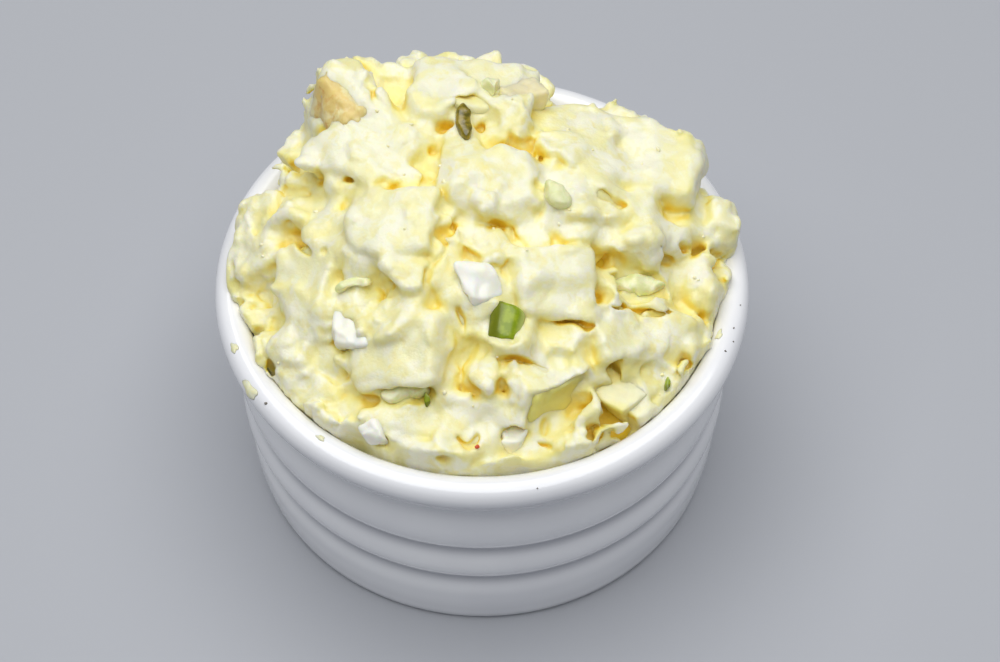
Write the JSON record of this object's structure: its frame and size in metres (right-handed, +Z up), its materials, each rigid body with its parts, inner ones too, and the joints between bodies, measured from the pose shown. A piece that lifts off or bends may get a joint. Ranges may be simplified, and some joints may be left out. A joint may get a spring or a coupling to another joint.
{
  "type": "potato salad in a ramekin",
  "caption": "Creamy diced potato salad with egg white, celery and gherkin, heaped over the rim of a small round white ramekin with soft horizontal rings, standing on its foot",
  "frame": {"origin": "middle of the foot ring, on the surface that the ramekin stands on", "axes": "+Z up, +X to the right and +Y to the back as the picture shows the heap; the gentle slope of the heap faces -Y"},
  "size_m": [0.09, 0.09, 0.0699],
  "materials": {
    "white_glaze": "glossy white glaze",
    "dressed_potato": "moist pale yellow dressing over diced potato"
  },
  "bodies": {
    "root": {"ramekin": "white_glaze", "potato_salad": "dressed_potato"}
  },
  "joints": []
}
